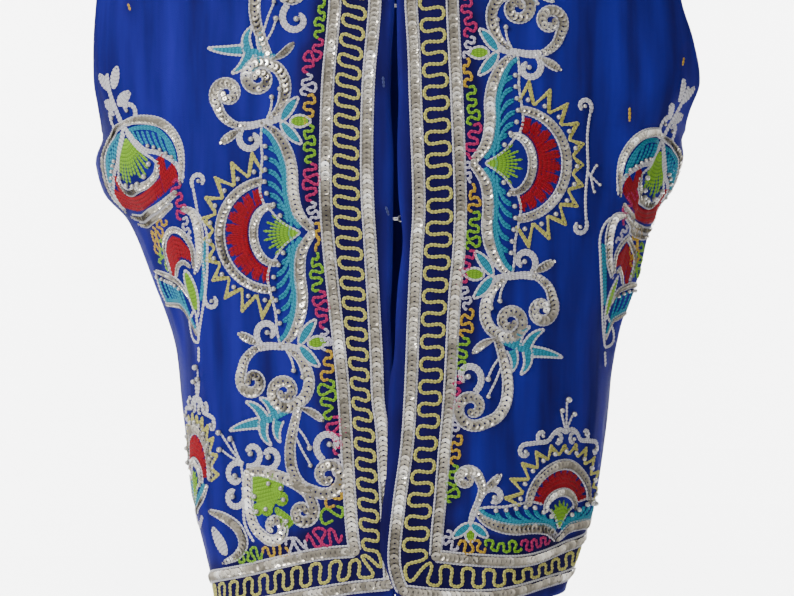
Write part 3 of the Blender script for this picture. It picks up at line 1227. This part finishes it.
def squiggles(path, side, halfWidths, first=0):
    path, share = evenly(path, 0.8)
    lengths = share * np.sum(np.linalg.norm(np.diff(path, axis=0), axis=1))
    wide = widthsAlong(share, halfWidths) * view["scale"] * 0.95 - 0.9
    place, k = 0.0, first
    while place < lengths[-1] - 4:
        colour = squiggle["colours"][k % len(squiggle["colours"])]
        end = min(place + squiggle["lengths"][k % len(squiggle["lengths"])], lengths[-1])
        chosen = (lengths >= place) & (lengths <= end)
        if chosen.sum() > 6:
            knots = np.arange(0, chosen.sum() + 20, 8)
            uneven = np.interp(np.arange(chosen.sum()), knots, rng.uniform(0.7, 1.2, len(knots)))
            middle = beside(path[chosen], wide[chosen] * 0.2 * np.sin(lengths[chosen] * 0.45 + k))
            meander(middle, side, np.maximum(wide[chosen], 0.8) * uneven, squiggle["pitch"], colour,
                    squiggle["bulge"], width=2.4, pitch=2.6)
        place, k = end, k + 1


def frontSquiggles(side):
    plan = squigglePlan[side]
    squiggles(curve(seen(plan["column"], side)), side, plan["columnWidth"], plan["start"])
    squiggles(curve(seen(plan["hem"], side)), side, plan["hemWidth"], plan["start"] + 1)


# Where the figures stand: a place in the picture, the lean in degrees and what is drawn above the middle
figurePlan = {
    -1: {"sun": (271, 235), "lean": 4.5, "topEnd": True, "corner": (198, 478), "wings": (0.84, 0.9),
         "spray": {1: 0.0, -1: 11.0}},
    1: {"sun": (515, 164), "lean": 1.2, "topEnd": False, "corner": (563, 506), "wings": (0.8, 0.92),
        "spray": {1: 7.0, -1: 7.0}},
    "cornerSun": {-1: (0.94, 0.55), 1: (0.78, 0.82)}, "cornerRays": {-1: (0.9, 0.5), 1: (0.86, 0.86)},
    "cornerCrown": {-1: (0.98, 0.5), 1: (0.92, 0.9)}, "cornerLean": {-1: -98, 1: -90},
    "flower": (270, 500), "side": {-1: (129, 139), 1: (663, 152)}, "sideLean": 104,
    "hanging": {-1: ((1.0, 1.0), (0.0, 0.0)), 1: ((0.98, 1.3), (-5.0, -12.5))},
    "fanEnd": {-1: -24.0, 1: -12.0},
}


def sunFigure(side):
    plan = figurePlan[side]
    centre = seen([plan["sun"]], side)[0]
    drawSun(newPen(side, centre, plan["lean"]))
    for flip in (-1, 1):
        pen = newPen(side, centre, plan["lean"], flip)
        drawWing(pen)
        drawBracket(pen)
        drawJunction(pen)
        drawInnerScroll(pen, plan["spray"][flip])
        if flip < 0 or plan["topEnd"]:
            drawEndScroll(pen)
    if side > 0:
        pen = newPen(side, centre, plan["lean"])
        for tip in ((60, 1), (63, -12), (59, -17)):
            beadStem(pen, [(54, -4), (56, -6), tip], 2.6)


def crown(pen):
    # three beaded stems over a line of small scrolls
    for tip, bead in (((81, 0), 4.6), ((73, 6), 3.8), ((70, -7), 3.8)):
        beadStem(pen, [(57, 0), (64, tip[1] * 0.5), tip], bead)
    for sign in (-1, 1):
        strands(pen, "white", [(56, 0), (58.5, 6 * sign), (56, 12 * sign), (50, 18 * sign), (49, 27 * sign),
                               (48, 38 * sign)], (2.6, 3.0, 3.2, 3.0))
        curl(pen, (56, 11 * sign), (51, 8.5 * sign), -0.7 * sign, (2.6, 2.8), 2.8)
        curl(pen, (49, 25 * sign), (54, 23 * sign), -0.6 * sign, (2.6, 2.8), 2.8)
        curl(pen, (48, 36 * sign), (42.5, 38 * sign), 0.8 * sign, (3.2, 3.2), 3.2)


def cornerFigure(side):
    # a sun that faces up at the foot of the side, and what joins it to the front
    plan = figurePlan[side]
    centre = seen([plan["corner"]], side)[0]
    lean = figurePlan["cornerLean"][side]
    drawSun(newPen(side, centre, lean, 1, figurePlan["cornerSun"][side]), False)
    drawRays(newPen(side, centre, lean, 1, figurePlan["cornerRays"][side]))
    crown(newPen(side, centre, lean, 1, figurePlan["cornerCrown"][side]))
    for flip in (1, -1):
        pen = newPen(side, centre, lean, flip, plan["wings"])
        if side > 0:
            drawWing(pen)
        else:
            strands(pen, "turquoise", [(-2, 16), (-12, 11), (-24, 0)], (3.0, 4.6, 4.0))
            ribbon(pen, [(-2, 20), (-15, 14), (-30, 0)], (3.0, 4.6, 3.6))
            strands(pen, "lilac", [(-30, 14), (-38, 8), (-42, 0)], (2.6, 3.4, 2.6))
        if side > 0 and flip > 0:
            strands(pen, "white", [(-12, 80), (-4, 78), (4, 75), (12, 72)], (3.0, 4.6, 4.6, 5.0))
            ribbon(pen, windUp([(8, 74), (18, 71), (28, 74)], (26, 83), 1.1), (4.4, 7.0, 8.0, 7.0, 5.0))
            curl(pen, (10, 72), (10, 62), -0.85, (4.2, 4.2), 3.8)
            ribbon(pen, [(15, 70), (22, 63), (29, 57)], (3.0, 6.2, 6.6, 4.2))
            for tipAcross in (66, 94):
                leaf(pen, (-12, 80), (-25, tipAcross), 3.6, "turquoise")
            leaf(pen, (-17, 80), (-29, 80), 4.0, "lime")


def flowerFigure():
    # a sequinned frame round a lime flower, at the foot of the right front
    side = -1
    centre = seen([figurePlan["flower"]], side)[0]
    pen = newPen(side, centre)
    ribbon(pen, windUp([(17, 19), (8, 20), (-7, 16.5), (-20, 11), (-28, 5), (-31, -2)], (-24, -8), 1.05, 3.0),
           (8.0, 8.6, 8.6, 8.6, 8.2, 6.6))
    ribbon(pen, windUp([(18, 18), (18.4, 7), (17.6, -8), (13, -20), (4, -27)], (-2.5, -19), -0.95, 3.0),
           (8.0, 8.6, 8.6, 8.6, 8.2, 6.6))
    strands(pen, "lime", [(6, 17.5), (4, 9), (4, 0), (6, -8)], (17.0, 22.0, 17.0, 9.0))
    for place, radius in (((-8.5, 1), 4.4), ((-5.5, 9), 4.0), ((3, -6.5), 4.2),
                          ((11, -7), 3.8), ((13, 3), 3.6)):
        for ring in np.arange(radius, 1.0, -1.3):
            draw(pen, "lime", arc(place, ring, 0, 360, 0.8), sharp=True, width=1.8)
    leaf(pen, (-16, -19), (-3.5, -5), 4.6, "lime", 0.0, "lime", flame=True)
    pearls(pen["lay"]([(-10.5, 0.7), (3, -6.2), (10.6, -8.2), (12, 2.2), (0.7, 11.5),
                       (-8.6, 8.4), (-12.6, -14.2)]),
           side, 3.6)
    draw(pen, "white", [(24, 27), (22.5, 12), (23, -2), (22, -18), (15, -30)], width=2.4)
    for start, middle, turns in (((22, 24), (28.5, 16), -0.8), ((22.5, 8), (31, 1.5), 0.9),
                                 ((19, 23), (14.5, 32), -0.8),
                                 ((6, 22), (0.5, 30), -0.8)):
        curl(pen, start, middle, turns, (3.8, 4.0, 3.6), 4.2)
    for tip in ((41, 46), (31, 42), (41, 34)):
        beadStem(pen, [(24, 26), ((24 + tip[0]) / 2, (26 + tip[1]) / 2 - 1), tip], 4.4)
    ribbon(pen, [(54, -10), (42, -13), (29, -20), (24, -31), (30, -40), (43, -46)],
           (4.0, 7.4, 8.6, 8.6, 6.6, 3.4))
    leaf(pen, (40, -40), (53, -21), 4.4, "white")


# the upper and lower edges of the hanging flower's fan: places across it and how far down they lie
fan = {"rim": ((-26, -12, 4, 14, 20), (88, 95, 101, 108, 120)),
       "foot": ((-36, -18, -1, 12, 17), (110, 115, 120, 130, 145))}


def hangingFlower(side, centre):
    # a red drop over a lime leaf and a turquoise fan, on the front below the side flower
    size, shift = figurePlan["hanging"][side]
    pen = newPen(side, centre, figurePlan["sideLean"], -1, size, shift)
    squiggles(pen["lay"](curve([(40, 31), (52, 33), (62, 31), (70, 31), (80, 34)])), side, (7, 8, 8, 5, 4), 0)
    squiggles(pen["lay"](curve([(62, 16), (66, 6), (74, 0), (86, -2), (94, 0)])), side, (6, 7, 8, 8, 6), 2)
    ribbon(pen, [(98, 5), (86, 4), (76, 8), (70.5, 18), (75, 27), (87, 32), (100, 30)],
           (3.4, 4.2, 5.0, 5.0, 4.6, 4.2, 3.4))
    for lateral in np.arange(7.5, 29.5, 1.35):
        head = np.interp(lateral, (7, 12, 18, 24, 30), (83, 77, 74.5, 78, 88))
        foot = np.interp(lateral, (7, 13, 21, 27, 30), (103, 98, 91, 95, 98))
        draw(pen, "red", [(head, lateral), (foot, lateral + rng.normal(0, 0.3))], width=2.0, pitch=3.2)
    ribbon(pen, [(102, 12), (96, 16), (94.5, 22), (99, 27)], (2.6, 3.8, 3.8, 2.6))
    ribbon(pen, [(59, 33), (64, 40), (75, 41), (86, 39), (96, 35.5), (104, 30)],
           (4.0, 7.4, 8.0, 7.4, 6.0, 3.4))
    draw(pen, "white", [(60, 38), (68, 45), (80, 46.5), (94, 43), (112, 37), (130, 28), (150, 16)], width=2.2)
    for inner in (0.0, 1.6):
        draw(pen, "turquoise", [(84, 44.2 - inner), (98, 40 - inner), (112, 35 - inner), (124, 29 - inner)],
             width=2.0)
    leaf(pen, (100, 22), (134, 22), 4.2, "lime", 0.03)
    far = figurePlan["fanEnd"][side]
    rim, foot = ([(float(np.interp(lateral, *fan[key])), lateral)
                  for lateral in np.linspace(far, fan[key][0][-1], 7)] for key in ("rim", "foot"))
    ribbon(pen, rim, (3.0, 4.6, 5.2, 4.4, 2.6))
    ribbon(pen, foot, (3.0, 4.2, 4.6, 4.0, 2.6))
    strands(pen, "turquoise", np.array(foot) - (3.2, 0), (1.8, 3.0, 3.4, 3.4, 1.8))
    draw(pen, "white", [rim[0], ((rim[0][0] + foot[0][0]) / 2, far - 4.0), foot[0]], width=2.2)
    for lateral in np.arange(far + 1.0, 15.0, 5.0):
        head, tail = np.interp(lateral, *fan["rim"]) + 4.5, np.interp(lateral + 3, *fan["foot"]) - 3.0
        draw(pen, "turquoise", [(head, lateral), ((head + tail) / 2, lateral + 0.6), (tail, lateral + 3)],
             width=1.8)
        pearls(pen["lay"]([(head - 0.6, lateral)]), side, 3.0)
    draw(pen, "white", [(128, 21), (136, 9), (143, 6), (148, 10), (150, 16), (142, 19), (132, 21)], width=2.4)
    draw(pen, "white", [(154, 15), (164, 11)], width=2.6)


def sideFigure(side):
    # a flower at the side seam: wings, a lime sprig and a red band
    centre = seen([figurePlan["side"][side]], side)[0]
    for flip in (-1, 1):
        pen = newPen(side, centre, figurePlan["sideLean"], flip)
        wing = [(-11, 1), (-9.5, 16), (-4, 30), (5, 38), (17, 42), (30, 41), (42, 37)]
        ribbon(pen, wing, (4.0, 6.6, 7.4, 7.0, 6.4, 5.0, 4.0))
        strands(pen, "turquoise", [(-5, 5), (-4, 15), (0, 26), (9, 33), (19, 36.5), (30, 36)],
                (2.0, 3.4, 3.4, 2.0))
        strands(pen, "white", [(-8, 1), (3, 8), (12.4, 15.5), (17, 25), (27, 36), (40, 40)],
                (3.0, 3.4, 3.4, 3.0))
        for k in range(7):
            lateral = 8 + 4 * k
            top = np.interp(lateral, (8, 20, 30, 36), (-3, 0, 5, 14))
            foot = np.interp(lateral + 3, (8, 15.5, 25, 36), (1, 9, 14, 24))
            draw(pen, "turquoise", [(top, lateral), ((top + foot) / 2, lateral + 1), (foot, lateral + 3)],
                 width=2.3)
            if k > 1:
                pearls(pen["lay"]([(foot - 0.4, lateral + 3)]), side, 3.0)
        for angle, length in ((4, 27), (12, 31), (21, 33), (30, 30), (38, 26)):
            draw(pen, "lime", [(0, 0), polar(length * 0.5, angle), polar(length, angle)], width=2.4)
        pearls(pen["lay"]([(23, 17), (30, 11), (33, 3)]), side, 4.0)
        draw(pen, "white", [(-4, 1), (10, 10), (20, 20), (26, 23)], width=2.1)
        ribbon(pen, [(36, 0), (35.5, 12), (31, 20), (23, 23)], (6.2, 6.2, 5.4, 3.6))
        for k in range(24):
            lateral = 1.5 * k + 0.7
            head = 40.5 - 0.012 * lateral ** 2 - (13 if 22 < lateral < 28 else 0)
            tail = (50.0 - 0.008 * lateral ** 2, lateral + rng.normal(0, 0.3))
            draw(pen, "red", [(head, lateral), tail], width=2.0, pitch=3.2)
        ribbon(pen, [(53.5, 0), (52.5, 16), (47, 32)], (5.8, 5.8, 4.6))
        ribbon(pen, [(58.8, 0), (57.8, 14), (54, 26)], (5.2, 5.2, 4.2))
        if flip > 0:
            squiggles(pen["lay"](curve([(62, 4), (72, 8), (86, 13)])), side, (8, 10, 8), 2)
    hangingFlower(side, centre)
    pen = newPen(side, centre, figurePlan["sideLean"])
    strands(pen, "white", [(-6, 0), (-20, 2), (-34, 3), (-48, 1)], (4.4, 3.6, 3.0, 2.4))
    for sign in (-1, 1):
        leaf(pen, (-24, 2 * sign), (-30, 15 * sign), 3.4, "white")
        leaf(pen, (-36, 2 * sign), (-50, 10 * sign), 3.0, "white")
        curl(pen, (-10, 3 * sign), (-18, 9 * sign), 0.8 * sign, (3.0, 3.2), 2.8)


# Small stitches that stand alone: a thread colour and the two ends in the picture
looseStitches = {
    -1: (("golden", (128, 4), (130, 11)), ("slate", (383, 77), (384, 88)), ("slate", (386, 207), (389, 216))),
    1: (("golden", (683, 58), (681, 66)), ("golden", (630, 108), (629, 122))),
}
for side, marks in looseStitches.items():
    for colour, start, end in marks:
        chain(colour, curve(seen([start, end], side)), side, width=2.2, height=0.6)

for side in (-1, 1):
    frontBands(side)
    frontSquiggles(side)
    workedTables[side] = gatherWorked(side)
    sunFigure(side)
    cornerFigure(side)
    sideFigure(side)
flowerFigure()
print("embroidery ready")


panelPlan = (("right", "clothFrontRight", "frontColumns", "front_right"),
             ("left", "clothFrontLeft", "frontColumns", "front_left"),
             ("back", "clothBack", "backColumns", "back"))
for panelName, pieceName, columnsKey, nodeName in panelPlan:
    makePanel(panelName, pieceName, panelGrid[columnsKey], nodeName)


def joinEmbroidery():
    sides = {-1: "Right", 1: "Left"}
    for (kind, side), store in basket.items():
        keys = store["values"][0].keys()
        values = {key: np.concatenate([one[key] for one in store["values"]]) for key in keys}
        name = kind + ("" if kind in ("sequin", "pearl") else "Thread") + sides[side]
        piece = makeMesh(name, np.concatenate(store["points"]), np.concatenate(store["faces"]),
                         materials[kind],
                         kind != "sequin", values)
        print(name, len(piece.data.polygons) * 2, "triangles")


joinEmbroidery()


def finishWires():
    for name in ("hook_upper", "eye_upper", "hook_lower", "eye_lower"):
        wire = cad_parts[name]
        wire.data.materials.clear()
        wire.data.materials.append(materials["wire"])


finishWires()


# The stage and the lights, in metres and watts
stagePlan = {"floor": -1.35, "wall": 6.0, "bend": 1.6, "front": -6.0, "top": 4.4, "half": 8.0, "turns": 14,
             "firstTurn": 0.1, "colour": (0.92, 0.92, 0.92, 1), "roughness": 0.9}


def makeStage():
    # pale floor that curves up into a pale wall
    material, _, surface = newMaterial("paleStage")
    setInputs(surface, {"Base Color": stagePlan["colour"], "Roughness": stagePlan["roughness"]})
    floor, wall, bend = stagePlan["floor"], stagePlan["wall"], stagePlan["bend"]
    profile = [(stagePlan["front"], floor), (wall - bend, floor)]
    profile += [(wall - bend + bend * math.sin(t), floor + bend - bend * math.cos(t))
                for t in np.linspace(stagePlan["firstTurn"], math.pi / 2, stagePlan["turns"])]
    profile += [(wall, stagePlan["top"])]
    points = [(x, y, z) for y, z in profile for x in (-stagePlan["half"], stagePlan["half"])]
    faces = [(2 * i, 2 * i + 1, 2 * i + 3, 2 * i + 2) for i in range(len(profile) - 1)]
    mesh = bpy.data.meshes.new("stage")
    mesh.from_pydata(points, [], faces)
    mesh.materials.append(material)
    stage = bpy.data.objects.new("stage", mesh)
    bpy.context.scene.collection.objects.link(stage)


def makeLight(name, place, aim, size, power):
    data = bpy.data.lights.new(name, "AREA")
    data.shape = "SQUARE"
    data.size = size
    data.energy = power
    light = bpy.data.objects.new(name, data)
    light.location = place
    direction = np.array(aim) - np.array(place)
    yaw = math.atan2(direction[1], direction[0])
    pitch = math.atan2(direction[2], math.hypot(direction[0], direction[1]))
    light.rotation_euler = (pitch + math.pi / 2, 0, yaw - math.pi / 2)
    bpy.context.scene.collection.objects.link(light)


lightPlan = {
    "aim": (0, 0, -0.35),
    "near": (("keyLight", (-1.8, -2.05, 1.0), 1.1, 132), ("fillLight", (1.9, -1.9, 0.2), 1.4, 5),
             ("topLight", (-0.3, -0.5, 2.1), 1.4, 22), ("backLight", (1.2, 3.6, 1.3), 1.4, 60)),
    "wall": (("wallLeft", -2.9), ("wallRight", 2.9)), "wallSize": 1.6, "wallPower": 640,
    "world": (("From Min", -0.4), ("From Max", 0.9), ("To Min", 0.14), ("To Max", 0.74)),
}


def lightScene():
    for name, place, size, power in lightPlan["near"]:
        makeLight(name, place, lightPlan["aim"], size, power)
    for name, x in lightPlan["wall"]:
        aim = (0.2 * x, stagePlan["wall"], -0.4)
        makeLight(name, (x, 3.2, 0.9), aim, lightPlan["wallSize"], lightPlan["wallPower"])
    world = bpy.data.worlds.new("paleRoom")
    bpy.context.scene.world = world
    world.use_nodes = True
    tree = world.node_tree
    # brighter above than below, so that the beads and sequins sparkle
    place = addNode(tree, "ShaderNodeTexCoord")
    parts = addNode(tree, "ShaderNodeSeparateXYZ")
    strength = addNode(tree, "ShaderNodeMapRange")
    setInputs(strength, dict(lightPlan["world"]))
    joinNodes(tree, (place.outputs["Generated"], parts.inputs[0]),
              (parts.outputs["Z"], strength.inputs["Value"]),
              (strength.outputs["Result"], tree.nodes["Background"].inputs["Strength"]))
    tree.nodes["Background"].inputs["Color"].default_value = (1, 1, 1, 1)


makeStage()
lightScene()
